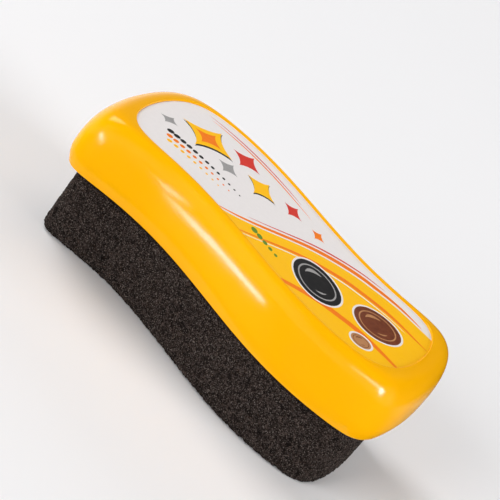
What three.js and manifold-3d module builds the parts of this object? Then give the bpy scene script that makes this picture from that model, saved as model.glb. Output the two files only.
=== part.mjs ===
// Shoe shine sponge. A hollow moulded handle with a wave-shaped plan holds an oil pad.
// A drilled plate closes the handle from below, and a foam block is bonded under the plate.
// Millimetres. +X runs along the length, +Z up, origin at the centre of the foam's working face.

import * as THREE from 'three';
import { mergeVertices } from 'three/addons/utils/BufferGeometryUtils.js';
import Module from 'manifold-3d';

// Plan of the handle
const LENGTH = 130;
const WIDTH = 60;
const SIDE_POWER = 22.5; // exponent along the length: the larger, the further the sides run straight
const END_POWER = 2; // exponent across: 2 bows the ends like an ellipse, large values flatten them
const WAVE_SWING = 6.3; // how far the centreline swings to each side
const WAVE_LENGTH = 130; // length of one full wave of the centreline

// Section of the handle
const HANDLE_HEIGHT = 21.9;
const BELLY_HEIGHT = 6; // the widest line, above the rim
const RIM_TUCK = 1.5; // how far the wall draws in from the widest line to the rim
const TUCK_POWER = 1.6; // how quickly it draws in
const SHOULDER_POWER = 2.6; // exponent of the section above the widest line
const WALL = 1.6;
const LIP_WIDTH = 0.8; // flat band round the label's recess

// Label and its recess
const LABEL_LENGTH = 111.8;
const LABEL_WIDTH = 51;
const LABEL_SIDE_POWER = 11;
const LABEL_END_POWER = 2.1;
const LABEL_THICKNESS = 0.3;
const LABEL_GAP = 0.3;
const RECESS_DEPTH = 0.9;

// Foam block
const SPONGE_DROP = 23.4; // height of foam that shows below the rim
const SPONGE_SEAT = 3.2; // height of foam held inside the rim
const SPONGE_SIDE_GAP = 0.4;
const SPONGE_END_GAP = 2.4;
const SPONGE_EDGE = 1.2; // radius of the foam's lower edge

// Adhesive film between the foam and the plate
const FILM_THICKNESS = 0.4;
const FILM_MARGIN = 1;

// Feed plate and its drilled holes
const PLATE_THICKNESS = 2;
const PLATE_GAP = 0.3;
const FEED_HOLE = 3; // diameter
const FEED_PITCH_X = 15;
const FEED_PITCH_Y = 14;
const FEED_EDGE = 6; // least distance from a hole's centre to the plate's edge

// Ribs and posts inside the handle, which the plate seats on
const RIB_WIDTH = 1.6;
const RIB_DEPTH = 2.2;
const SIDE_RIB_PITCH = 28;
const SIDE_RIBS = 4;
const END_RIB_PITCH = 24;
const END_RIBS = 2;
const POST_SPACING = 75;
const POST_DIAMETER = 7;
const SPIGOT_DIAMETER = 3;
const SPIGOT_GAP = 0.3;

// Oil pad
const PAD_GAP = 0.5;

// Fineness of the meshes
const RING_POINTS = 96;
const BRANCH_POINTS = 90;
const TUCK_STEPS = 4;
const SHOULDER_STEPS = 9;
const CAVITY_STEPS = 6;
const EDGE_STEPS = 3;
const ROUND_SIDES = 16;
const OVERRUN = 1; // how far a cutter runs past the face it cuts

// Heights, from the working face up
const RIM_Z = SPONGE_DROP;
const SPONGE_TOP = RIM_Z + SPONGE_SEAT;
const PLATE_BOTTOM = SPONGE_TOP + FILM_THICKNESS;
const PLATE_TOP = PLATE_BOTTOM + PLATE_THICKNESS;
const BELLY_Z = RIM_Z + BELLY_HEIGHT;
const HANDLE_TOP = RIM_Z + HANDLE_HEIGHT;
const PANEL_Z = HANDLE_TOP - RECESS_DEPTH;
const CEILING = PANEL_Z - WALL;

// Insets of the inner outlines from the handle's widest outline
const OPENING_INSET = RIM_TUCK + WALL;
const PAD_INSET = OPENING_INSET + RIB_DEPTH + PAD_GAP;

const wasm = await Module();
wasm.setup();

// The centreline of every outline: one wave, towards -Y on the +X half.
function centreline(x) {
  return -WAVE_SWING * Math.sin((2 * Math.PI * x) / WAVE_LENGTH);
}

// How far a unit oval reaches one way at a place the other way.
function reach(place, power, otherPower) {
  return (1 - Math.abs(place) ** power) ** (1 / otherPower);
}

// A quarter of a unit oval, from the middle of its end to the middle of its side.
function quarterOval(sidePower, endPower) {
  const points = [];
  for (let i = 0; i < BRANCH_POINTS; i += 1) {
    const y = (0.5 ** (1 / endPower) * i) / BRANCH_POINTS;
    points.push(new THREE.Vector2(reach(y, endPower, sidePower), y));
  }
  for (let i = BRANCH_POINTS; i >= 0; i -= 1) {
    const x = (0.5 ** (1 / sidePower) * i) / BRANCH_POINTS;
    points.push(new THREE.Vector2(x, reach(x, sidePower, endPower)));
  }
  return points;
}

// A squared oval laid along the wave, as evenly spaced points.
function planOutline(halfLength, halfWidth, sidePower, endPower) {
  const quarter = quarterOval(sidePower, endPower);
  const mirrored = quarter.slice(1, -1).reverse();
  const half = [...quarter, ...mirrored.map(({ x, y }) => new THREE.Vector2(-x, y))];
  const oval = [...half, ...half.map((point) => point.clone().negate())];
  const fine = oval.map((point) => {
    const x = halfLength * point.x;
    return new THREE.Vector2(x, halfWidth * point.y + centreline(x));
  });
  const path = new THREE.Path([...fine, fine[0]]);
  return path.getSpacedPoints(RING_POINTS).slice(0, RING_POINTS);
}

function handleOutline(inset) {
  return planOutline(LENGTH / 2 - inset, WIDTH / 2 - inset, SIDE_POWER, END_POWER);
}

function labelOutline(growth) {
  const halfLength = LABEL_LENGTH / 2 + growth;
  const halfWidth = LABEL_WIDTH / 2 + growth;
  return planOutline(halfLength, halfWidth, LABEL_SIDE_POWER, LABEL_END_POWER);
}

function spongeOutline(inset) {
  const halfLength = LENGTH / 2 - OPENING_INSET - SPONGE_END_GAP - inset;
  const halfWidth = WIDTH / 2 - OPENING_INSET - SPONGE_SIDE_GAP - inset;
  return planOutline(halfLength, halfWidth, SIDE_POWER, END_POWER);
}

// The handle's outline at a height between the widest line and a flat top, inset all round.
// The section is a squared quarter oval, from the widest outline in to the lip's outline.
function shoulderRing(inset, rise, topZ) {
  const share = 1 - (1 - rise ** SHOULDER_POWER) ** (1 / SHOULDER_POWER);
  const outer = handleOutline(inset);
  const lip = labelOutline(LIP_WIDTH - inset);
  const points = outer.map((point, i) => point.clone().lerp(lip[i], share));
  return { points, z: BELLY_Z + rise * (topZ - BELLY_Z) };
}

// Rings from a floor height up to a flat top, closer together towards the shoulder.
// Below the widest line the wall is straight.
function shoulderRings(inset, floorZ, topZ, steps) {
  const firstRise = Math.max(0, (floorZ - BELLY_Z) / (topZ - BELLY_Z));
  const firstAngle = Math.asin(firstRise ** (SHOULDER_POWER / 2));
  const rings = [];
  if (floorZ < BELLY_Z) rings.push({ points: handleOutline(inset), z: floorZ });
  for (let i = 0; i <= steps; i += 1) {
    const angle = THREE.MathUtils.lerp(firstAngle, Math.PI / 2, i / steps);
    const rise = Math.min(1, Math.sin(angle) ** (2 / SHOULDER_POWER));
    rings.push(shoulderRing(inset, rise, topZ));
  }
  return rings;
}

// A closed skin over rings that have the same number of points, with a fan over each end.
function loft(rings) {
  const positions = [];
  const faces = [];
  for (const { points, z } of rings) {
    for (const point of points) positions.push(point.x, point.y, z);
  }
  const count = RING_POINTS;
  const topRow = (rings.length - 1) * count;
  const lowHub = rings.length * count;
  const highHub = lowHub + 1;
  positions.push(0, 0, rings[0].z, 0, 0, rings.at(-1).z);
  for (let i = 0; i < count; i += 1) {
    const next = (i + 1) % count;
    for (let row = 0; row < topRow; row += count) {
      const a = row + i;
      const b = row + next;
      faces.push(a, b, b + count, a, b + count, a + count);
    }
    faces.push(lowHub, next, i);
    faces.push(highHub, topRow + i, topRow + next);
  }
  const geometry = new THREE.BufferGeometry();
  geometry.setAttribute('position', new THREE.Float32BufferAttribute(positions, 3));
  geometry.setIndex(faces);
  return geometry;
}

function prism(points, lowZ, highZ) {
  return loft([{ points, z: lowZ }, { points, z: highZ }]);
}

function cylinder(x, y, diameter, lowZ, highZ) {
  const geometry = new THREE.CylinderGeometry(diameter / 2, diameter / 2, highZ - lowZ, ROUND_SIDES);
  geometry.rotateX(Math.PI / 2);
  geometry.translate(x, y, (lowZ + highZ) / 2);
  return geometry;
}

function box(x, y, sizeX, sizeY, lowZ, highZ) {
  const geometry = new THREE.BoxGeometry(sizeX, sizeY, highZ - lowZ);
  geometry.translate(x, y, (lowZ + highZ) / 2);
  return geometry;
}

function toSolid(geometry) {
  geometry.deleteAttribute('normal');
  geometry.deleteAttribute('uv');
  const merged = mergeVertices(geometry);
  const vertProperties = new Float32Array(merged.attributes.position.array);
  const triVerts = new Uint32Array(merged.index.array);
  return new wasm.Manifold(new wasm.Mesh({ numProp: 3, vertProperties, triVerts }));
}

function toGeometry(solid) {
  const mesh = solid.getMesh();
  const geometry = new THREE.BufferGeometry();
  geometry.setAttribute('position', new THREE.BufferAttribute(mesh.vertProperties, 3));
  geometry.setIndex(new THREE.BufferAttribute(mesh.triVerts, 1));
  return geometry;
}

function joined(geometries) {
  return geometries.map(toSolid).reduce((sum, solid) => sum.add(solid));
}

// Places along a line, evenly spaced about zero.
function spread(count, pitch) {
  return Array.from({ length: count }, (_, i) => (i - (count - 1) / 2) * pitch);
}

function postPlaces() {
  return spread(2, POST_SPACING).map((x) => new THREE.Vector2(x, centreline(x)));
}

// Feed holes on a grid that follows the wave, clear of the posts and of the plate's edge.
function feedPlaces() {
  const reachX = LENGTH / 2 - OPENING_INSET - PLATE_GAP - FEED_EDGE;
  const reachY = WIDTH / 2 - OPENING_INSET - PLATE_GAP - FEED_EDGE;
  const columns = 2 * Math.floor(reachX / FEED_PITCH_X) + 1;
  const rows = 2 * Math.floor(reachY / FEED_PITCH_Y) + 1;
  const clear = (POST_DIAMETER + FEED_HOLE) / 2;
  const places = [];
  for (const x of spread(columns, FEED_PITCH_X)) {
    for (const offset of spread(rows, FEED_PITCH_Y)) {
      const place = new THREE.Vector2(x, centreline(x) + offset);
      if (postPlaces().every((post) => post.distanceTo(place) > clear)) places.push(place);
    }
  }
  return places;
}

function drill(solid, places, diameter, lowZ, highZ) {
  const drills = places.map(({ x, y }) => cylinder(x, y, diameter, lowZ - OVERRUN, highZ + OVERRUN));
  return solid.subtract(joined(drills));
}

// Ribs that stand in from the side and end walls, down to the plate.
function ribBoxes() {
  const halfLength = LENGTH / 2 - OPENING_INSET;
  const halfWidth = WIDTH / 2 - OPENING_INSET;
  const size = RIB_DEPTH + WALL / 2;
  const middle = WALL / 4 - RIB_DEPTH / 2;
  const boxes = [];
  for (const side of [-1, 1]) {
    for (const x of spread(SIDE_RIBS, SIDE_RIB_PITCH)) {
      const y = centreline(x) + side * (halfWidth + middle);
      boxes.push(box(x, y, RIB_WIDTH, size, PLATE_TOP, PANEL_Z - WALL / 2));
    }
    for (const offset of spread(END_RIBS, END_RIB_PITCH)) {
      const x = side * (halfLength * reach(offset / halfWidth, END_POWER, SIDE_POWER) + middle);
      const y = centreline(x) + offset;
      boxes.push(box(x, y, size, RIB_WIDTH, PLATE_TOP, PANEL_Z - WALL / 2));
    }
  }
  return boxes;
}

// The handle: a moulded shell, open below, with the label's recess on top.
function handleShell() {
  const rings = [];
  for (let i = 0; i < TUCK_STEPS; i += 1) {
    const rise = i / TUCK_STEPS;
    const points = handleOutline(RIM_TUCK * (1 - rise) ** TUCK_POWER);
    rings.push({ points, z: RIM_Z + BELLY_HEIGHT * rise });
  }
  rings.push(...shoulderRings(0, BELLY_Z, HANDLE_TOP, SHOULDER_STEPS));
  const outside = toSolid(loft(rings));

  const mouth = handleOutline(OPENING_INSET);
  const inside = [
    { points: mouth, z: RIM_Z - OVERRUN },
    ...shoulderRings(OPENING_INSET, PLATE_TOP, CEILING, CAVITY_STEPS),
  ];
  const recess = prism(labelOutline(LABEL_GAP), PANEL_Z, HANDLE_TOP + OVERRUN);
  const shell = outside.subtract(toSolid(loft(inside))).subtract(toSolid(recess));

  const core = shoulderRings(WALL / 2, PLATE_TOP, PANEL_Z - WALL / 2, CAVITY_STEPS);
  const ribs = joined(ribBoxes()).intersect(toSolid(loft(core)));
  const rootZ = CEILING + WALL / 2;
  const posts = postPlaces().map(({ x, y }) => cylinder(x, y, POST_DIAMETER, PLATE_TOP, rootZ));
  const spigotEnd = PLATE_BOTTOM + SPIGOT_GAP;
  const spigots = postPlaces().map(({ x, y }) => cylinder(x, y, SPIGOT_DIAMETER, spigotEnd, rootZ));
  return toGeometry(shell.add(ribs).add(joined([...posts, ...spigots])));
}

function topLabel() {
  return prism(labelOutline(0), PANEL_Z, PANEL_Z + LABEL_THICKNESS);
}

// The oil pad fills the handle between the ribs, with a clear hole round each post.
function reservoirPad() {
  const topZ = CEILING - PAD_GAP;
  const block = toSolid(loft(shoulderRings(PAD_INSET, PLATE_TOP, topZ, CAVITY_STEPS)));
  return toGeometry(drill(block, postPlaces(), POST_DIAMETER + 2 * PAD_GAP, PLATE_TOP, topZ));
}

function feedPlate() {
  const blank = toSolid(prism(handleOutline(OPENING_INSET + PLATE_GAP), PLATE_BOTTOM, PLATE_TOP));
  const fed = drill(blank, feedPlaces(), FEED_HOLE, PLATE_BOTTOM, PLATE_TOP);
  const spigotHole = SPIGOT_DIAMETER + 2 * SPIGOT_GAP;
  return toGeometry(drill(fed, postPlaces(), spigotHole, PLATE_BOTTOM, PLATE_TOP));
}

function bondFilm() {
  const blank = toSolid(prism(spongeOutline(FILM_MARGIN), SPONGE_TOP, PLATE_BOTTOM));
  return toGeometry(drill(blank, feedPlaces(), FEED_HOLE, SPONGE_TOP, PLATE_BOTTOM));
}

// The foam block: straight cut sides and a softened lower edge.
function shineSponge() {
  const rings = [];
  for (let i = 0; i <= EDGE_STEPS; i += 1) {
    const angle = (Math.PI / 2) * (i / EDGE_STEPS);
    const points = spongeOutline(SPONGE_EDGE * (1 - Math.sin(angle)));
    rings.push({ points, z: SPONGE_EDGE * (1 - Math.cos(angle)) });
  }
  rings.push({ points: spongeOutline(0), z: SPONGE_TOP });
  return loft(rings);
}

const yellowPlastic = new THREE.MeshStandardMaterial({ color: 0xfdb900, roughness: 0.22, metalness: 0 });
const labelStock = new THREE.MeshStandardMaterial({ color: 0xece7e5, roughness: 0.4, metalness: 0 });
const whiteFelt = new THREE.MeshStandardMaterial({ color: 0xe8e4d8, roughness: 0.95, metalness: 0 });
const whitePlastic = new THREE.MeshStandardMaterial({ color: 0xdedede, roughness: 0.5, metalness: 0 });
const amberFilm = new THREE.MeshStandardMaterial({ color: 0xc9b48a, roughness: 0.6, metalness: 0 });
const darkFoam = new THREE.MeshStandardMaterial({ color: 0x3a322e, roughness: 0.95, metalness: 0 });

function named(name, geometry, material) {
  const mesh = new THREE.Mesh(geometry, material);
  mesh.name = name;
  return mesh;
}

const shoeShineSponge = new THREE.Group();
shoeShineSponge.add(
  named('handle_shell', handleShell(), yellowPlastic),
  named('top_label', topLabel(), labelStock),
  named('reservoir_pad', reservoirPad(), whiteFelt),
  named('feed_plate', feedPlate(), whitePlastic),
  named('bond_film', bondFilm(), amberFilm),
  named('shine_sponge', shineSponge(), darkFoam),
);

export default shoeShineSponge;
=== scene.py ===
"""Looks of a shoe shine sponge: a glossy moulded handle, its label and a block of open foam.

Lengths are in metres and angles in degrees, unless a comment says otherwise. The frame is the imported
model's: +X along the handle, +Z up, z = 0 at the foam's working face.
"""

import math

import bmesh
import bpy
import numpy as np
from mathutils import Matrix, Quaternion, Vector, kdtree
from mathutils.geometry import delaunay_2d_cdt


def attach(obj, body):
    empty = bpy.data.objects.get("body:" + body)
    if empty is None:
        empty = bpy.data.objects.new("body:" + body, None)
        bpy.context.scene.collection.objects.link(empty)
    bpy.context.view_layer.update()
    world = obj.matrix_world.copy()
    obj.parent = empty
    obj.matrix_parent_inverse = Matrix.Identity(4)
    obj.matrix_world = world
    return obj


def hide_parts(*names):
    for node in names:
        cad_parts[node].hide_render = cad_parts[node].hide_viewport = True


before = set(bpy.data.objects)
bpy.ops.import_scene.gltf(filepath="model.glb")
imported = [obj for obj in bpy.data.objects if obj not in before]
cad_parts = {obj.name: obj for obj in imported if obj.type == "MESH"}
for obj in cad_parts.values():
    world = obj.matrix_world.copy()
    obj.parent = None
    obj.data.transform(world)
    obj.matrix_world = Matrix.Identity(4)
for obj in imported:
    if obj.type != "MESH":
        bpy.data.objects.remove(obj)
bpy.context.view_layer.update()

MM = 0.001

# Camera, from the photograph's outlines; lens and sensor in millimetres
CAMERA_PLACE = (73.95 * MM, -448.83 * MM, 238.3 * MM)
CAMERA_AZIMUTH = 9.877
CAMERA_ELEVATION = 24.41
CAMERA_ROLL = 38.599
CAMERA_LENS = 118.99
CAMERA_SENSOR = 36.0
CAMERA_NEAREST = 10 * MM

# Plan of the handle
LENGTH = 130 * MM
WIDTH = 60 * MM
SIDE_POWER = 22.5
END_POWER = 2
WAVE_SWING = 6.3 * MM
WAVE_LENGTH = 130 * MM

# Section of the handle
RIM_Z = 23.4 * MM
HANDLE_HEIGHT = 21.9 * MM
HANDLE_TOP = RIM_Z + HANDLE_HEIGHT
BELLY_HEIGHT = 6 * MM
BELLY_Z = RIM_Z + BELLY_HEIGHT
RIM_TUCK = 1.5 * MM
TUCK_POWER = 1.6
SHOULDER_POWER = 2.6
WALL = 1.6 * MM
LIP_WIDTH = 0.8 * MM
LIP_ROUND = 0.42 * MM
RIM_ROUND = 0.45 * MM
MOUTH_ROUND = 0.25 * MM
OPENING_INSET = RIM_TUCK + WALL

# Label and its recess
LABEL_LENGTH = 111.8 * MM
LABEL_WIDTH = 51 * MM
LABEL_SIDE_POWER = 11
LABEL_END_POWER = 2.1
LABEL_THICKNESS = 0.3 * MM
LABEL_GAP = 0.3 * MM
LABEL_SEAM = 0.03 * MM
RECESS_DEPTH = 0.9 * MM
PANEL_Z = HANDLE_TOP - RECESS_DEPTH
CEILING = PANEL_Z - WALL

# Ribs and posts inside the handle
PLATE_LIFT = 3.6 * MM
PLATE_THICKNESS = 2 * MM
PLATE_BOTTOM = RIM_Z + PLATE_LIFT
PLATE_TOP = PLATE_BOTTOM + PLATE_THICKNESS
RIB_WIDTH = 1.6 * MM
RIB_DEPTH = 2.2 * MM
RIB_RISE = 0.6
SIDE_RIBS = (-42 * MM, -14 * MM, 14 * MM, 42 * MM)
END_RIBS = (-12 * MM, 12 * MM)
POSTS = (-37.5 * MM, 37.5 * MM)
POST_RADIUS = 3.5 * MM
SPIGOT_RADIUS = 1.5 * MM
SPIGOT_SHORT = 0.3 * MM
SPIGOT_END = PLATE_BOTTOM + SPIGOT_SHORT

# Foam block
SPONGE_HOLD = 3.2 * MM
SPONGE_TOP = RIM_Z + SPONGE_HOLD
SPONGE_SIDE_GAP = 0.4 * MM
SPONGE_END_GAP = 2.4 * MM
SPONGE_EDGE = 1.2 * MM
FOAM_SEED = 7
PORE_SPACING = 0.72 * MM
PORE_RADIUS = (0.25 * MM, 0.58 * MM)
PORE_DEPTH = 0.7
PIT_SHARE = 0.008
PIT_RADIUS = (0.8 * MM, 1.25 * MM)
# Painted shade on the foam under the handle's rim: it starts at the first height and is full at the second
RIM_SHADE_START = RIM_Z - 2.0 * MM
RIM_SHADE_FULL = RIM_Z - 1.1 * MM

# Felt pad
FELT_VOXEL = 0.9 * MM
FELT_SINK = (0.05 * MM, 0.25 * MM)
FELT_SEED = 7

# Fineness of the meshes
HANDLE_POINTS = 720
BRANCH_POINTS = 800
MEASURE_POINTS = 3200
SHOULDER_STEPS = 40
TUCK_STEPS = 12
ROUND_STEPS = 6
EDGE_STEPS = 5
POST_POINTS = 32
FOAM_STEP = 0.37 * MM
FACE_STEP = 0.5 * MM
FACE_MARGIN = 0.7
FACE_JITTER = 0.3
SHARP_ANGLE = 50

# Triangulation: it keeps what lies inside the loops, and merges points that are this near, in millimetres
KEEP_INSIDE = 1
PRINT_MERGE = 1e-5
FACE_MERGE = 1e-6

# Inks of the label: (colour, shade)
INKS = {
    "paper": ((0.775, 0.735, 0.725), (0.795, 0.755, 0.745)),
    "gold": ((0.97, 0.50, 0.0), (0.98, 0.52, 0.002)),
    "orange": ((0.86, 0.18, 0.003), (0.90, 0.21, 0.005)),
    "red": ((0.60, 0.03, 0.02), (0.66, 0.045, 0.03)),
    "black": ((0.008, 0.008, 0.009), (0.016, 0.015, 0.015)),
    "brown": ((0.13, 0.032, 0.013), (0.19, 0.05, 0.02)),
    "tan": ((0.42, 0.19, 0.075), (0.48, 0.23, 0.10)),
    "green": ((0.10, 0.22, 0.02), (0.13, 0.26, 0.03)),
    "grey": ((0.30, 0.29, 0.285), (0.34, 0.33, 0.325)),
}

# Print of the label, in millimetres: u along the handle, v across it from the centreline
SHORE_START = -24
SHORE_RUN = 52
SHORE_LOW = -29
SHORE_CLIMB = 45
RIPPLE_SWING = 2.2
RIPPLE_LENGTH = 46
RIPPLE_ZERO = 28
RIPPLE_START = 4
RIPPLE_RUN = 24
GROUND_END = 60
GROUND_LOW = -40
SWEEP_TAPER = 0.6
SWATCH_KEYLINE = 0.7
SWATCH_RING = (0.80, 0.74)

# (share of the radius, width as a share of it, first angle, last angle) of each stroke of shine
SWATCH_SHINES = ((0.52, 0.17, 95, 190), (0.50, 0.08, 290, 350))

# (ink, first u, last u, height above the shore, width) of each sweep along the shore, from the lowest up
SHORE_SWEEPS = (
    ("orange", -17, 50, 1.0, 2.6),
    ("red", -9, 34, 4.6, 1.1),
    ("orange", -10, 56, -8.5, 2.2),
    ("paper", -12, 48, -9.9, 0.7),
    ("orange", 0, 58, -32.5, 2.8),
)

# (ink, first u, last u, v, width) of each sweep along the label's edge
EDGE_SWEEPS = (
    ("red", -46, -4, 20.6, 0.7),
    ("orange", -44, 2, 18.8, 0.8),
)

# (u, v, radius, ink, ink of its ring and shine) of each round swatch
SWATCHES = (
    (19.5, -8.5, 9.2, "black", "grey"),
    (40.5, -1.5, 8.2, "brown", "tan"),
    (41.0, -17.2, 3.4, "tan", "brown"),
)

# (ink, u, v, size) of each sparkle, from the lowest up
SPARKLES = (
    ("black", -37.4, 4.2, 10.6),
    ("gold", -38, 5, 10.4),
    ("orange", -38, 5, 5.6),
    ("red", -25.5, 12.2, 6.2),
    ("black", -14.6, 5.3, 6.8),
    ("gold", -15, 5.8, 6.6),
    ("grey", -26, -1.5, 4.4),
    ("red", -3.5, 12.4, 4.4),
    ("orange", 7.5, 14.6, 3.2),
    ("grey", -49, -3, 3.4),
)

# (ink, first u, last u, v, first radius, last radius, number) of each row of dots
DOT_ROWS = (
    ("black", -45, -16, -9.5, 1.25, 0.35, 13),
    ("orange", -43.6, -19, -12.8, 1.1, 0.35, 11),
    ("gold", -42, -22, -15.8, 0.95, 0.35, 9),
    ("green", -4, 6, -17.5, 1.3, 0.7, 5),
)

# Points of each printed shape
GROUND_POINTS = 120
SWEEP_POINTS = 90
SPARKLE_POINTS = 64
DISC_POINTS = 56
DOT_POINTS = 20
SHINE_POINTS = 25

# Floor and surroundings: pale up to the first elevation, dark from the second
FLOOR_HALF = 0.8
WORLD_COLOUR = (1.0, 0.995, 1.0)
WORLD_PALE = 1.0
WORLD_DARK = 0.12
WORLD_PALE_UP_TO = 2
WORLD_DARK_FROM = 21

# Dark flags that only reflections see, a painted reflection of dark surroundings: one lies on the floor in
# front and at the right, one stands behind the right end
FLAG_LEFT = -300 * MM
FLAG_RIGHT = 500 * MM
FLAG_FRONT = -450 * MM
FLAG_BACK = 80 * MM
FLAG_CORNER = (70 * MM, -45 * MM)
FLAG_LIFT = 0.5 * MM
BACK_FLAG_LEFT = 5 * MM
BACK_FLAG_HEIGHT = 160 * MM
FLAG_FADE = 14 * MM
FLAG_THINNING = 50 * MM
FLAG_DARK = 0.01
FLAG_PALE = 0.36

# Lamps
SOFTBOX_DISTANCE = 1.7
SOFTBOX_SIZE = (0.9, 0.9)
SOFTBOX_TARGET = (0, 0, 0.03)
GLINT_COLOUR = (0.5, 0.46, 1.0)


def centreline(x):
    """The wave that every outline follows."""
    return -WAVE_SWING * np.sin(2 * np.pi * x / WAVE_LENGTH)


def reach(place, power, other_power):
    """How far a unit oval reaches one way at a place the other way."""
    return (1 - np.abs(place) ** power) ** (1 / other_power)


def unit_oval(side_power, end_power):
    """A squared oval of unit size, anticlockwise from its +X end."""
    share = np.arange(BRANCH_POINTS) / BRANCH_POINTS
    end_y = 0.5 ** (1 / end_power) * share
    side_x = 0.5 ** (1 / side_power) * (1 - share)
    x = np.concatenate([reach(end_y, end_power, side_power), side_x])
    y = np.concatenate([end_y, reach(side_x, side_power, end_power)])
    half_x = np.concatenate([x, [0], -x[:0:-1]])
    half_y = np.concatenate([y, [1], y[:0:-1]])
    return np.concatenate([half_x, -half_x]), np.concatenate([half_y, -half_y])


def plan_outline(half_length, half_width, side_power, end_power, count):
    """A squared oval laid along the wave, as evenly spaced points."""
    oval_x, oval_y = unit_oval(side_power, end_power)
    x = half_length * np.append(oval_x, oval_x[0])
    y = half_width * np.append(oval_y, oval_y[0]) + centreline(x)
    along = np.concatenate([[0], np.cumsum(np.hypot(np.diff(x), np.diff(y)))])
    places = np.linspace(0, along[-1], count, endpoint=False)
    return np.column_stack([np.interp(places, along, x), np.interp(places, along, y)])


def handle_outline(inset):
    return plan_outline(LENGTH / 2 - inset, WIDTH / 2 - inset, SIDE_POWER, END_POWER, HANDLE_POINTS)


def label_outline(growth):
    half_length = LABEL_LENGTH / 2 + growth
    half_width = LABEL_WIDTH / 2 + growth
    return plan_outline(half_length, half_width, LABEL_SIDE_POWER, LABEL_END_POWER, HANDLE_POINTS)


def sponge_halves(inset):
    """Half the foam's length and width."""
    half_length = LENGTH / 2 - OPENING_INSET - SPONGE_END_GAP - inset
    half_width = WIDTH / 2 - OPENING_INSET - SPONGE_SIDE_GAP - inset
    return half_length, half_width


def sponge_outline(inset, count):
    return plan_outline(*sponge_halves(inset), SIDE_POWER, END_POWER, count)


def ring(points, z):
    """Flat points lifted to a height."""
    return np.column_stack([points, np.full(len(points), z)])


def shoulder_rings(inset, top_z, steps):
    """Rings from the widest line up to a flat top, along a squared quarter oval."""
    outer = handle_outline(inset)
    lip = label_outline(LIP_WIDTH - inset)
    rings = []
    for angle in np.linspace(0, math.pi / 2, steps + 1):
        rise = math.sin(angle) ** (2 / SHOULDER_POWER)
        share = 1 - max(0.0, math.cos(angle)) ** (2 / SHOULDER_POWER)
        rings.append(ring(outer * (1 - share) + lip * share, BELLY_Z + rise * (top_z - BELLY_Z)))
    return rings


def skin(rings):
    """Vertices and faces over rings with the same number of points, with a flat cap at each end."""
    count = len(rings[0])
    column = np.arange(count)
    after = np.roll(column, -1)
    faces = []
    for row in range(len(rings) - 1):
        here = row * count
        there = here + count
        quads = np.column_stack([here + column, there + column, there + after, here + after])
        faces.extend(quads.tolist())
    faces.append(column.tolist())
    faces.append(((len(rings) - 1) * count + column[::-1]).tolist())
    return np.concatenate(rings), faces


def new_piece(name, vertices, faces, *materials):
    """A smooth-shaded mesh object with its materials."""
    mesh = bpy.data.meshes.new(name)
    mesh.from_pydata(np.asarray(vertices).tolist(), [], faces)
    mesh.update()
    mesh.shade_smooth()
    for material in materials:
        mesh.materials.append(material)
    piece = bpy.data.objects.new(name, mesh)
    bpy.context.scene.collection.objects.link(piece)
    return piece


def declare(piece, node):
    """The piece rides on the one body and stands for the CAD node, which is hidden."""
    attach(piece, "root")
    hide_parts(node)


# Material helpers


def add_node(tree, kind, inputs=None, **settings):
    """A shader node with its settings, and its inputs set or linked."""
    made = tree.nodes.new(kind)
    for name, value in settings.items():
        setattr(made, name, value)
    for name, value in (inputs or {}).items():
        if isinstance(value, bpy.types.NodeSocket):
            tree.links.new(value, made.inputs[name])
        else:
            made.inputs[name].default_value = value
    return made


def new_material(name):
    """(material, its node tree, its Principled shader, the socket with places in metres)."""
    material = bpy.data.materials.new(name)
    material.use_nodes = True
    tree = material.node_tree
    shader = tree.nodes["Principled BSDF"]
    place = add_node(tree, "ShaderNodeTexCoord").outputs["Object"]
    return material, tree, shader, place


def noise(tree, place, size, detail=2.0, roughness=0.5):
    """Noise whose features measure about size metres."""
    inputs = {"Vector": place, "Scale": 1 / size, "Detail": detail, "Roughness": roughness}
    return add_node(tree, "ShaderNodeTexNoise", inputs).outputs["Fac"]


def spread(tree, value, low, high, from_low=0.3, from_high=0.7):
    """A value mapped from its usual span to low and high."""
    inputs = {"Value": value, "From Min": from_low, "From Max": from_high, "To Min": low, "To Max": high}
    return add_node(tree, "ShaderNodeMapRange", inputs).outputs["Result"]


def mixed(tree, factor, first, second):
    """A colour between two colours."""
    made = add_node(tree, "ShaderNodeMix", data_type="RGBA")
    for name, value in (("Factor", factor), ("A", first), ("B", second)):
        socket = next(s for s in made.inputs if s.name == name and s.enabled)
        if isinstance(value, bpy.types.NodeSocket):
            tree.links.new(value, socket)
        else:
            socket.default_value = value
    return next(s for s in made.outputs if s.enabled)


def bumped(tree, shader, height, distance):
    """Bump on the shader, up to the distance in metres."""
    bump = add_node(tree, "ShaderNodeBump", {"Height": height, "Distance": distance, "Strength": 1.0})
    tree.links.new(bump.outputs["Normal"], shader.inputs["Normal"])


def axes_of(tree, place):
    """The X, Y and Z sockets of a place."""
    return add_node(tree, "ShaderNodeSeparateXYZ", {"Vector": place}).outputs


def rgba(red, green, blue):
    return (red, green, blue, 1.0)


# Materials


def handle_plastic():
    """Glossy golden-yellow moulded plastic."""
    material, tree, shader, place = new_material("handle_plastic")
    cloud = spread(tree, noise(tree, place, 30 * MM), 0, 1)
    colour = mixed(tree, cloud, rgba(0.93, 0.428, 0.0), rgba(0.95, 0.44, 0.0))
    tree.links.new(colour, shader.inputs["Base Color"])
    handled = spread(tree, noise(tree, place, 9 * MM, 4), 0.12, 0.17)
    tree.links.new(handled, shader.inputs["Roughness"])
    shader.inputs["Specular IOR Level"].default_value = 0.3
    shader.inputs["Specular Tint"].default_value = rgba(1.0, 0.8, 0.5)
    bumped(tree, shader, noise(tree, place, 3 * MM, 3), 0.004 * MM)
    return material


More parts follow.
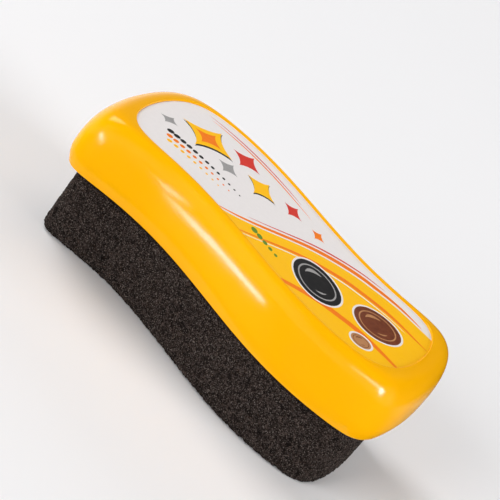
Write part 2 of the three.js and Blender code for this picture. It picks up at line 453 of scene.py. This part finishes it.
def ink(name, colour, shade):
    """Printed label stock: an even colour with a little mottling and a fine paper grain."""
    material, tree, shader, place = new_material(name)
    mottle = spread(tree, noise(tree, place, 1.5 * MM, 4), 0, 1)
    tree.links.new(mixed(tree, mottle, rgba(*colour), rgba(*shade)), shader.inputs["Base Color"])
    tree.links.new(spread(tree, noise(tree, place, 6 * MM), 0.42, 0.50), shader.inputs["Roughness"])
    shader.inputs["Specular IOR Level"].default_value = 0.2
    bumped(tree, shader, noise(tree, place, 0.25 * MM, 3), 0.003 * MM)
    return material


def foam():
    """Dark open foam: lighter cell walls, pores darkened by their depth as painted shade, and painted
    shade under the handle's rim.
    """
    material, tree, shader, place = new_material("shine_foam")
    pit = add_node(tree, "ShaderNodeAttribute", attribute_name="pit").outputs["Fac"]
    grain = noise(tree, place, 0.42 * MM, 1)
    speck = spread(tree, noise(tree, place, 0.34 * MM, 0), 0, 1, 0.62, 0.76)
    lit = spread(tree, grain, 0, 1, 0.36, 0.66)
    walls = mixed(tree, lit, rgba(0.006, 0.0042, 0.0036), rgba(0.062, 0.046, 0.040))
    # Painted shade in the pores: the deeper a vertex is sunk, the darker the foam
    pore_shaded = mixed(tree, spread(tree, pit, 0, 0.85, 0.15, 0.8), walls, rgba(0.005, 0.0036, 0.003))
    specked = mixed(tree, speck, pore_shaded, rgba(0.125, 0.105, 0.094))
    # Painted shade: the foam darkens towards the handle's rim
    rim_shade = spread(tree, axes_of(tree, place)["Z"], 0, 0.85, RIM_SHADE_START, RIM_SHADE_FULL)
    colour = mixed(tree, rim_shade, specked, rgba(0.004, 0.003, 0.0026))
    tree.links.new(colour, shader.inputs["Base Color"])
    shader.inputs["Roughness"].default_value = 0.95
    shader.inputs["Specular IOR Level"].default_value = 0.08
    bumped(tree, shader, grain, 0.25 * MM)
    return material


def felt():
    """Off-white felt, a little yellowed by oil."""
    material, tree, shader, place = new_material("oil_felt")
    stain = spread(tree, noise(tree, place, 14 * MM, 3), 0, 1)
    colour = mixed(tree, stain, rgba(0.78, 0.74, 0.62), rgba(0.62, 0.54, 0.36))
    tree.links.new(colour, shader.inputs["Base Color"])
    shader.inputs["Roughness"].default_value = 0.9
    bumped(tree, shader, noise(tree, place, 0.5 * MM, 5, 0.7), 0.3 * MM)
    return material


def plate_plastic():
    """Off-white matte plastic with a fine moulded grain."""
    material, tree, shader, place = new_material("plate_plastic")
    cloud = spread(tree, noise(tree, place, 20 * MM), 0, 1)
    colour = mixed(tree, cloud, rgba(0.70, 0.70, 0.69), rgba(0.74, 0.74, 0.72))
    tree.links.new(colour, shader.inputs["Base Color"])
    tree.links.new(spread(tree, noise(tree, place, 4 * MM), 0.45, 0.55), shader.inputs["Roughness"])
    bumped(tree, shader, noise(tree, place, 0.3 * MM, 3), 0.02 * MM)
    return material


def adhesive():
    """Dried amber adhesive, uneven where it was spread."""
    material, tree, shader, place = new_material("bond_adhesive")
    streaks = spread(tree, noise(tree, place, 5 * MM, 4), 0, 1)
    colour = mixed(tree, streaks, rgba(0.52, 0.40, 0.20), rgba(0.66, 0.55, 0.33))
    tree.links.new(colour, shader.inputs["Base Color"])
    tree.links.new(spread(tree, streaks, 0.5, 0.7), shader.inputs["Roughness"])
    bumped(tree, shader, noise(tree, place, 1.5 * MM, 3), 0.05 * MM)
    return material


def floor_finish():
    """Pale matte floor."""
    material, tree, shader, place = new_material("floor")
    cloud = spread(tree, noise(tree, place, 400 * MM), 0, 1)
    colour = mixed(tree, cloud, rgba(0.868, 0.862, 0.872), rgba(0.878, 0.872, 0.882))
    tree.links.new(colour, shader.inputs["Base Color"])
    shader.inputs["Roughness"].default_value = 0.9
    shader.inputs["Specular IOR Level"].default_value = 0.1
    return material


def flag_finish(name, left):
    """Painted reflection: a dark sheet that pales to grey low down and towards the crease between the
    flags, for the shaded floor near the handle, and thins out at its left end.
    """
    material, tree, shader, place = new_material(name)
    axes = axes_of(tree, place)
    near = spread(tree, axes["Y"], 0, 1, 0, FLAG_BACK)
    low = spread(tree, axes["Z"], 1, 0, 0, FLAG_FADE)
    dark = rgba(FLAG_DARK, FLAG_DARK, FLAG_DARK)
    pale = rgba(FLAG_PALE, FLAG_PALE, FLAG_PALE)
    colour = mixed(tree, low, dark, mixed(tree, near, dark, pale))
    tree.links.new(colour, shader.inputs["Base Color"])
    shader.inputs["Roughness"].default_value = 0.9
    shader.inputs["Specular IOR Level"].default_value = 0.0
    tree.links.new(spread(tree, axes["X"], 0, 1, left, left + FLAG_THINNING), shader.inputs["Alpha"])
    return material


# Handle


def bend(start, corner, end):
    """Points along a curve from start to end that is drawn towards the corner."""
    start, corner, end = (np.array(p) for p in (start, corner, end))
    shares = np.linspace(0, 1, ROUND_STEPS + 1)
    return [(1 - t) ** 2 * start + 2 * t * (1 - t) * corner + t * t * end for t in shares]


def tuck_inset(rise):
    """How far the wall is drawn in, from the rim at rise 0 to the widest line at rise 1."""
    return RIM_TUCK * (1 - rise) ** TUCK_POWER


def handle_rings():
    """The handle's section: from the recess over the lip, down the wall, round the rim and up inside."""
    rings = [ring(label_outline(LABEL_GAP), PANEL_Z)]
    top_z = HANDLE_TOP
    edge = bend((LABEL_GAP, top_z - LIP_ROUND), (LABEL_GAP, top_z), (LABEL_GAP + LIP_ROUND, top_z))
    rings += [ring(label_outline(growth), z) for growth, z in edge]
    rings += shoulder_rings(0, top_z, SHOULDER_STEPS)[::-1]
    round_rise = RIM_ROUND / (BELLY_Z - RIM_Z)
    for rise in np.linspace(1, round_rise, TUCK_STEPS + 1)[1:-1]:
        rings.append(ring(handle_outline(tuck_inset(rise)), RIM_Z + rise * (BELLY_Z - RIM_Z)))
    outside = (tuck_inset(round_rise), RIM_Z + RIM_ROUND)
    rim = bend(outside, (RIM_TUCK, RIM_Z), (RIM_TUCK + RIM_ROUND, RIM_Z))
    mouth_start = (OPENING_INSET - MOUTH_ROUND, RIM_Z)
    mouth = bend(mouth_start, (OPENING_INSET, RIM_Z), (OPENING_INSET, RIM_Z + MOUTH_ROUND))
    rings += [ring(handle_outline(inset), z) for inset, z in rim + mouth]
    rings.append(ring(handle_outline(OPENING_INSET), PLATE_TOP))
    rings += shoulder_rings(OPENING_INSET, CEILING, SHOULDER_STEPS // 2)
    return rings


def upright(x, y, half_x, half_y, low_z, high_z):
    """A square-cut rib."""
    corners = np.array([(1, -1), (1, 1), (-1, 1), (-1, -1)]) * (half_x, half_y) + (x, y)
    return [ring(corners, high_z), ring(corners, low_z)]


def round_post(x, radius, low_z, high_z):
    """A round post on the centreline."""
    angle = np.linspace(0, 2 * np.pi, POST_POINTS, endpoint=False)
    circle = np.column_stack([x + radius * np.cos(angle), centreline(x) + radius * np.sin(angle)])
    return [ring(circle, high_z), ring(circle, low_z)]


def handle_fittings():
    """The ribs and posts inside the handle, rooted in its wall and ceiling."""
    half_length = LENGTH / 2 - OPENING_INSET
    half_width = WIDTH / 2 - OPENING_INSET
    middle = WALL / 4 - RIB_DEPTH / 2
    depth = RIB_DEPTH / 2 + WALL / 4
    rib_top = BELLY_Z + RIB_RISE * (CEILING - BELLY_Z)
    post_top = CEILING + WALL / 2
    fittings = []
    for side in (-1, 1):
        for x in SIDE_RIBS:
            y = centreline(x) + side * (half_width + middle)
            fittings.append(upright(x, y, RIB_WIDTH / 2, depth, PLATE_TOP, rib_top))
        for offset in END_RIBS:
            x = side * (half_length * reach(offset / half_width, END_POWER, SIDE_POWER) + middle)
            y = centreline(x) + offset
            fittings.append(upright(x, y, depth, RIB_WIDTH / 2, PLATE_TOP, rib_top))
    for x in POSTS:
        fittings.append(round_post(x, POST_RADIUS, PLATE_TOP, post_top))
        fittings.append(round_post(x, SPIGOT_RADIUS, SPIGOT_END, post_top))
    return fittings


def make_handle():
    """The moulded handle with its ribs and posts."""
    vertices, faces = skin(handle_rings())
    for rings in handle_fittings():
        more_vertices, more_faces = skin(rings)
        faces += [[len(vertices) + i for i in face] for face in more_faces]
        vertices = np.concatenate([vertices, more_vertices])
    handle = new_piece("handle", vertices, faces, handle_plastic())
    handle.data.set_sharp_from_angle(angle=math.radians(SHARP_ANGLE))
    declare(handle, "handle_shell")
    return handle


# Label: its print is cut into the mesh


def disc(u, v, radius, count=DISC_POINTS):
    angle = np.linspace(0, 2 * np.pi, count, endpoint=False)
    return np.column_stack([u + radius * np.cos(angle), v + radius * np.sin(angle)])


def sparkle(u, v, size):
    """A four-pointed star with hollow sides."""
    angle = np.linspace(0, 2 * np.pi, SPARKLE_POINTS, endpoint=False)
    return np.column_stack([u + size * np.cos(angle) ** 3, v + size * np.sin(angle) ** 3])


def crescent(u, v, radius, width, start, end):
    """A curved stroke that tapers to both ends."""
    angle = np.radians(np.linspace(start, end, SHINE_POINTS))
    half = width / 2 * np.sin(np.linspace(0, np.pi, SHINE_POINTS))
    outer = np.column_stack([np.cos(angle), np.sin(angle)]) * (radius + half)[:, None]
    inner = np.column_stack([np.cos(angle), np.sin(angle)]) * (radius - half)[:, None]
    return np.concatenate([outer, inner[-2:0:-1]]) + (u, v)


def sweep(u, low, width):
    """A band above the line through u and low that tapers to both ends."""
    thick = width * np.sin(np.linspace(0, np.pi, len(u))) ** SWEEP_TAPER
    lower = np.column_stack([u, low])
    upper = np.column_stack([u, low + thick])
    return np.concatenate([lower, upper[-2:0:-1]])


def shore(u):
    """The line between the white and the yellow ground: a climb, then a ripple that grows."""
    share = np.clip((u - SHORE_START) / SHORE_RUN, 0, 1)
    climb = share * share * (3 - 2 * share)
    growth = np.clip((u - RIPPLE_START) / RIPPLE_RUN, 0, 1)
    ripple = RIPPLE_SWING * np.sin(2 * np.pi * (u - RIPPLE_ZERO) / RIPPLE_LENGTH) * growth
    return SHORE_LOW + SHORE_CLIMB * climb + ripple


def yellow_ground():
    """All below the shore."""
    u = np.linspace(SHORE_START, GROUND_END, GROUND_POINTS)
    line = np.column_stack([u, shore(u)])
    return np.concatenate([[(GROUND_END, GROUND_LOW)], line[::-1], [(SHORE_START, GROUND_LOW)]])


def swatch(u, v, radius, colour, trim):
    """A round swatch with a white keyline, a thin ring and two strokes of shine."""
    ring_outside, ring_inside = SWATCH_RING
    shapes = [
        ("paper", disc(u, v, radius + SWATCH_KEYLINE)),
        (colour, disc(u, v, radius)),
        (trim, disc(u, v, radius * ring_outside)),
        (colour, disc(u, v, radius * ring_inside)),
    ]
    for place, width, start, end in SWATCH_SHINES:
        shapes.append((trim, crescent(u, v, radius * place, radius * width, start, end)))
    return shapes


def dotted(start, end, v, first, last, count):
    """A row of dots that shrink from the first radius to the last."""
    shares = np.linspace(0, 1, count)
    return [disc(start + (end - start) * t, v, first + (last - first) * t, DOT_POINTS) for t in shares]


def print_design():
    """(ink, loop) for each printed shape, from the lowest up."""
    shapes = [("gold", yellow_ground())]
    for name, start, end, height, width in SHORE_SWEEPS:
        u = np.linspace(start, end, SWEEP_POINTS)
        shapes.append((name, sweep(u, shore(u) + height, width)))
    for name, start, end, v, width in EDGE_SWEEPS:
        u = np.linspace(start, end, SWEEP_POINTS)
        shapes.append((name, sweep(u, np.full_like(u, v), width)))
    for settings in SWATCHES:
        shapes += swatch(*settings)
    for name, *settings in SPARKLES:
        shapes.append((name, sparkle(*settings)))
    for name, *settings in DOT_ROWS:
        shapes += [(name, loop) for loop in dotted(*settings)]
    return shapes


def label_print(outline):
    """(points, triangles, ink number of each triangle) of the printed face."""
    names = list(INKS)
    inks = [names.index("paper")]
    loops = [outline / MM]
    for name, loop in print_design():
        inks.append(names.index(name))
        loops.append(loop + np.column_stack([np.zeros(len(loop)), centreline(loop[:, 0] * MM) / MM]))
    starts = np.cumsum([0] + [len(loop) for loop in loops])
    numbered = [list(range(start, start + len(loop))) for start, loop in zip(starts, loops)]
    every = [Vector(p) for p in np.concatenate(loops)]
    made = delaunay_2d_cdt(every, [], numbered, KEEP_INSIDE, PRINT_MERGE)
    points, _, triangles, _, _, owners = made
    kept = [i for i, owner in enumerate(owners) if 0 in owner]
    flat = np.array([tuple(p) for p in points]) * MM
    return flat, [triangles[i] for i in kept], [inks[max(owners[i])] for i in kept]


def make_label():
    """The label: its printed face, extruded down to the floor of the recess."""
    points, triangles, inks = label_print(label_outline(LABEL_GAP - LABEL_SEAM))
    materials = [ink(f"label_{name}", *colours) for name, colours in INKS.items()]
    label = new_piece("label", ring(points, PANEL_Z + LABEL_THICKNESS), triangles, *materials)
    label.data.polygons.foreach_set("material_index", inks)
    body = bmesh.new()
    body.from_mesh(label.data)
    bmesh.ops.delete(body, geom=[v for v in body.verts if not v.link_faces], context="VERTS")
    made = bmesh.ops.extrude_face_region(body, geom=body.faces[:], use_keep_orig=True)["geom"]
    for vertex in (v for v in made if isinstance(v, bmesh.types.BMVert)):
        vertex.co.z = PANEL_Z
    bmesh.ops.recalc_face_normals(body, faces=body.faces[:])
    body.to_mesh(label.data)
    body.free()
    label.data.set_sharp_from_angle(angle=math.radians(SHARP_ANGLE))
    declare(label, "top_label")


# Foam block


def foam_sides(count):
    """Rings from the foam's top down the side and round the lower edge."""
    side_steps = round((SPONGE_TOP - SPONGE_EDGE) / FOAM_STEP)
    outline = sponge_outline(0, count)
    rings = [ring(outline, z) for z in np.linspace(SPONGE_TOP, SPONGE_EDGE, side_steps + 1)]
    for angle in np.linspace(0, math.pi / 2, EDGE_STEPS + 1)[1:]:
        inset = SPONGE_EDGE * (1 - math.cos(angle))
        rings.append(ring(sponge_outline(inset, count), SPONGE_EDGE * (1 - math.sin(angle))))
    return rings


def foam_face(outline, generator):
    """Jittered points inside the working face, and triangles over its outline's points and then these."""
    half_length, half_width = sponge_halves(SPONGE_EDGE + FACE_MARGIN * FACE_STEP)
    across = np.arange(-half_length, half_length, FACE_STEP)
    deep = np.arange(-half_width, half_width, FACE_STEP)
    x, offset = (axis.ravel() for axis in np.meshgrid(across, deep))
    x = x + generator.uniform(-FACE_JITTER, FACE_JITTER, x.size) * FACE_STEP
    offset = offset + generator.uniform(-FACE_JITTER, FACE_JITTER, x.size) * FACE_STEP
    inside = np.abs(x / half_length) ** SIDE_POWER + np.abs(offset / half_width) ** END_POWER < 1
    points = np.column_stack([x, offset + centreline(x)])[inside]
    every = [Vector(p) for p in np.concatenate([outline, points]) / MM]
    made = delaunay_2d_cdt(every, [], [list(range(len(outline)))], KEEP_INSIDE, FACE_MERGE)
    return points, made[2]


def pore_depths(vertices, generator):
    """How deep each vertex is sunk, as the pores that open in the surface take it."""
    area = 2 * (LENGTH + WIDTH) * SPONGE_TOP + LENGTH * WIDTH
    count = int(area / PORE_SPACING**2)
    centres = vertices[generator.choice(len(vertices), count, replace=False)]
    radii = generator.uniform(*PORE_RADIUS, count)
    pits = generator.random(count) < PIT_SHARE
    radii[pits] = generator.uniform(*PIT_RADIUS, pits.sum())
    tree = kdtree.KDTree(count)
    for i, centre in enumerate(centres):
        tree.insert(centre, i)
    tree.balance()
    depths = np.zeros(len(vertices))
    for i, vertex in enumerate(vertices):
        for _, pore, distance in tree.find_range(vertex, PIT_RADIUS[1]):
            share = 1 - (distance / radii[pore]) ** 2
            depths[i] = max(depths[i], PORE_DEPTH * radii[pore] * share)
    return depths


def make_sponge():
    """The foam block, with seeded pores sunk into its sides and its working face."""
    generator = np.random.default_rng(FOAM_SEED)
    fine = sponge_outline(0, MEASURE_POINTS)
    length = np.linalg.norm(np.diff(fine, axis=0), axis=1).sum()
    count = round(length / FOAM_STEP)
    sides = foam_sides(count)
    vertices, faces = skin(sides)
    faces.pop()
    face_points, triangles = foam_face(sides[-1][:, :2], generator)
    first = len(vertices) - count
    vertices = np.concatenate([vertices, ring(face_points, 0)])
    faces += [[first + i for i in reversed(triangle)] for triangle in triangles]
    sponge = new_piece("sponge", vertices, faces, foam())
    normals = np.array([tuple(v.normal) for v in sponge.data.vertices])
    depths = pore_depths(vertices, generator)
    depths[:count] = 0
    sponge.data.vertices.foreach_set("co", (vertices - normals * depths[:, None]).ravel())
    # How deep each vertex is sunk, which the foam's colour turns into painted shade
    pit = sponge.data.attributes.new("pit", "FLOAT", "POINT")
    pit.data.foreach_set("value", depths / (PORE_DEPTH * PORE_RADIUS[1]))
    sponge.data.update()
    declare(sponge, "shine_sponge")


# Pieces inside the handle


def make_felt():
    """The oil pad: the CAD solid's shape with softened edges and a matted surface."""
    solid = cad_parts["reservoir_pad"]
    pad = bpy.data.objects.new("felt_pad", solid.data.copy())
    pad.matrix_world = solid.matrix_world
    bpy.context.scene.collection.objects.link(pad)
    remesh = pad.modifiers.new("remesh", "REMESH")
    remesh.mode = "VOXEL"
    remesh.voxel_size = FELT_VOXEL
    evaluated = pad.evaluated_get(bpy.context.evaluated_depsgraph_get())
    mesh = bpy.data.meshes.new_from_object(evaluated)
    pad.modifiers.clear()
    pad.data = mesh
    generator = np.random.default_rng(FELT_SEED)
    places = np.array([tuple(v.co) for v in mesh.vertices])
    normals = np.array([tuple(v.normal) for v in mesh.vertices])
    sunk = generator.uniform(*FELT_SINK, len(places))
    mesh.vertices.foreach_set("co", (places - normals * sunk[:, None]).ravel())
    mesh.update()
    mesh.shade_smooth()
    mesh.materials.clear()
    mesh.materials.append(felt())
    declare(pad, "reservoir_pad")


def finish_node(node, material):
    """A CAD node that stays gets its own material."""
    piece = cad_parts[node]
    piece.data.materials.clear()
    piece.data.materials.append(material)


# Camera, stage and light


def make_camera():
    data = bpy.data.cameras.new("camera")
    data.sensor_width = CAMERA_SENSOR
    data.lens = CAMERA_LENS
    data.clip_start = CAMERA_NEAREST
    camera = bpy.data.objects.new("camera", data)
    bpy.context.scene.collection.objects.link(camera)
    turn = Matrix.Rotation(math.radians(CAMERA_AZIMUTH), 4, "Z")
    tilt = Matrix.Rotation(math.radians(90 - CAMERA_ELEVATION), 4, "X")
    roll = Matrix.Rotation(math.radians(CAMERA_ROLL), 4, "Z")
    camera.matrix_world = Matrix.Translation(CAMERA_PLACE) @ turn @ tilt @ roll
    bpy.context.scene.camera = camera


def make_floor():
    half = FLOOR_HALF
    corners = [(-half, -half, 0), (half, -half, 0), (half, half, 0), (-half, half, 0)]
    floor = new_piece("floor", corners, [[0, 1, 2, 3]], floor_finish())


def make_flag(name, corners, left):
    """A dark flag that only reflections see."""
    flag = new_piece(name, corners, [list(range(len(corners)))], flag_finish(name, left))
    flag.visible_camera = False
    flag.visible_diffuse = False
    flag.visible_transmission = False
    flag.visible_shadow = False


def make_flags():
    """Two flags that keep the pale floor out of the glossy walls."""
    side, near = FLAG_CORNER
    front = [(FLAG_LEFT, FLAG_FRONT), (FLAG_RIGHT, FLAG_FRONT)]
    back = [(FLAG_RIGHT, FLAG_BACK), (side, FLAG_BACK), (side, near), (FLAG_LEFT, near)]
    make_flag("floor_flag", [(x, y, FLAG_LIFT) for x, y in front + back], FLAG_LEFT)
    foot = [(BACK_FLAG_LEFT, FLAG_BACK, 0), (FLAG_RIGHT, FLAG_BACK, 0)]
    head = [(FLAG_RIGHT, FLAG_BACK, BACK_FLAG_HEIGHT), (BACK_FLAG_LEFT, FLAG_BACK, BACK_FLAG_HEIGHT)]
    make_flag("back_flag", foot + head, BACK_FLAG_LEFT)


def make_world():
    """Pale surroundings up to a little above the horizon, and a darker ceiling."""
    world = bpy.data.worlds.new("world")
    world.use_nodes = True
    tree = world.node_tree
    tree.nodes.clear()
    place = add_node(tree, "ShaderNodeTexCoord").outputs["Generated"]
    pale_up_to = math.sin(math.radians(WORLD_PALE_UP_TO))
    dark_from = math.sin(math.radians(WORLD_DARK_FROM))
    level = spread(tree, axes_of(tree, place)["Z"], WORLD_PALE, WORLD_DARK, pale_up_to, dark_from)
    inputs = {"Color": rgba(*WORLD_COLOUR), "Strength": level}
    surroundings = add_node(tree, "ShaderNodeBackground", inputs)
    add_node(tree, "ShaderNodeOutputWorld", {"Surface": surroundings.outputs[0]})
    bpy.context.scene.world = world


def direction(azimuth, elevation):
    """Unit vector towards a place at that azimuth, from -Y towards +X, and height above the horizon."""
    turn = math.radians(azimuth)
    rise = math.radians(elevation)
    return Vector((math.sin(turn) * math.cos(rise), -math.cos(turn) * math.cos(rise), math.sin(rise)))


def make_lamp(
    name, azimuth, elevation, power,
    distance=SOFTBOX_DISTANCE, size=SOFTBOX_SIZE, target=SOFTBOX_TARGET, beam=180, turn=0,
):
    """A lamp that faces the target, turned about its own axis, with its light held to the beam's angle."""
    data = bpy.data.lights.new(name, "AREA")
    data.shape = "RECTANGLE"
    data.size, data.size_y = size
    data.energy = power
    data.spread = math.radians(beam)
    lamp = bpy.data.objects.new(name, data)
    bpy.context.scene.collection.objects.link(lamp)
    back = direction(azimuth, elevation)
    lamp.location = Vector(target) + back * distance
    facing = back.to_track_quat("Z", "Y") @ Quaternion((0, 0, 1), math.radians(turn))
    lamp.rotation_euler = facing.to_euler()
    lamp.visible_camera = False
    return lamp


def make_softboxes():
    """The soft light. Only the overhead softbox shows in the gloss."""
    plain = [
        make_lamp("key_softbox", azimuth=-30, elevation=22, power=19.5),
        make_lamp("right_fill", azimuth=92, elevation=18, power=21.0),
        make_lamp("back_fill", azimuth=172, elevation=26, power=7.0),
    ]
    for lamp in plain:
        lamp.visible_glossy = False
    make_lamp("overhead_softbox", azimuth=-103, elevation=48, power=14.0, size=(0.85, 0.85))


def make_glints(handle):
    """Small cards close to the handle: each makes a highlight on it and lights nothing else."""
    cards = [
        make_lamp(
            "side_card", azimuth=59.2, elevation=16, power=0.0125, distance=0.12, size=(0.050, 0.022),
            target=(0.0549, -0.0310, 0.0415), beam=40, turn=50,
        ),
        make_lamp(
            "trail_card", azimuth=48.7, elevation=20.8, power=0.0245, distance=0.12, size=(0.1007, 0.016),
            target=(0.0294, -0.0648, 0.0320), beam=76, turn=14.4,
        ),
        make_lamp(
            "low_strip", azimuth=-41, elevation=-16, power=0.0034, distance=0.10, size=(0.042, 0.006),
            target=(0.003, -0.0344, 0.0374), beam=50,
        ),
        make_lamp(
            "corner_card", azimuth=-11, elevation=-4, power=0.0022, distance=0.08, size=(0.006, 0.046),
            target=(-0.0553, -0.0262, 0.0380), beam=36, turn=52,
        ),
    ]
    receivers = bpy.data.collections.new("glint_receivers")
    receivers.objects.link(handle)
    for card in cards:
        card.visible_diffuse = False
        card.data.color = GLINT_COLOUR
        card.light_linking.receiver_collection = receivers


make_camera()
handle = make_handle()
make_label()
make_sponge()
make_felt()
finish_node("feed_plate", plate_plastic())
finish_node("bond_film", adhesive())
make_floor()
make_flags()
make_world()
make_softboxes()
make_glints(handle)
bpy.context.scene.view_settings.view_transform = "Standard"
